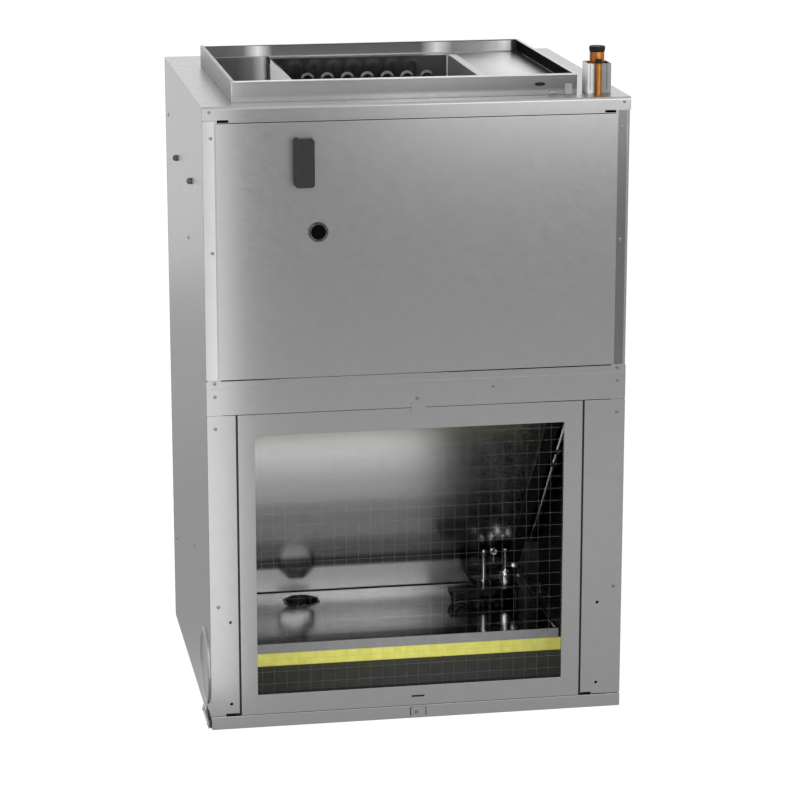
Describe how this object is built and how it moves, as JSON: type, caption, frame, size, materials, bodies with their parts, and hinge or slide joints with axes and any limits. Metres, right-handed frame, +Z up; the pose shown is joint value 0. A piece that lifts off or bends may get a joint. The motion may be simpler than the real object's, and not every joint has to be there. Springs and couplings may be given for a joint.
{
  "type": "upright air handling unit",
  "caption": "Upright sheet metal air handling unit with a duct collar and capped copper lines on top, a service panel and a screened return opening over a leaning coil and drain pan.",
  "frame": {"origin": "middle of the cabinet's footprint, on the floor", "axes": "+Z up, -Y towards the front with the service panel, +X to the right seen from the front"},
  "size_m": [0.6145, 0.555, 0.978],
  "materials": {
    "cabinet_steel": "galvanised sheet, satin",
    "inner_steel": "bright galvanised sheet",
    "coil_metal": "bright coil face",
    "dark_steel": "dark satin",
    "copper": "copper tube, satin",
    "valve_metal": "bright machined metal",
    "screen_wire": "drawn wire",
    "black_plastic": "moulded, satin",
    "black_rubber": "matte",
    "yellow_foam": "cut foam"
  },
  "bodies": {
    "root": {"base_panel": "dark_steel", "left_side_panel": "cabinet_steel", "right_side_panel": "cabinet_steel", "back_panel": "cabinet_steel", "top_panel": "cabinet_steel", "bottom_rail": "cabinet_steel", "middle_rail": "cabinet_steel", "service_panel": "cabinet_steel", "panel_handle": "black_plastic", "panel_plug": "black_plastic", "left_filler_panel": "cabinet_steel", "right_filler_panel": "cabinet_steel", "return_frame": "cabinet_steel", "upper_clip": "cabinet_steel", "lower_clip": "cabinet_steel", "screen_border": "dark_steel", "screen_wires_across": "screen_wire", "screen_wires_upright": "screen_wire", "pan_insulation": "yellow_foam", "drain_pan": "inner_steel", "coil_seal": "black_rubber", "coil_slab": "coil_metal", "left_end_plate": "dark_steel", "right_end_plate": "dark_steel", "tube_channel": "dark_steel", "coil_header": "valve_metal", "valve_plate": "dark_steel", "expansion_valve": "valve_metal", "distributor_post": "valve_metal", "capillary_loops": "dark_steel", "drain_fitting": "black_plastic", "duct_collar": "cabinet_steel", "supply_well": "inner_steel", "supply_deck": "inner_steel", "supply_liner": "inner_steel", "element_carrier": "dark_steel", "heater_elements": "inner_steel", "suction_line": "copper", "suction_cap": "black_rubber", "liquid_line": "copper", "liquid_cap": "black_rubber", "pipe_shroud": "valve_metal", "side_cover": "cabinet_steel", "foot_bracket": "cabinet_steel"}
  },
  "joints": []
}
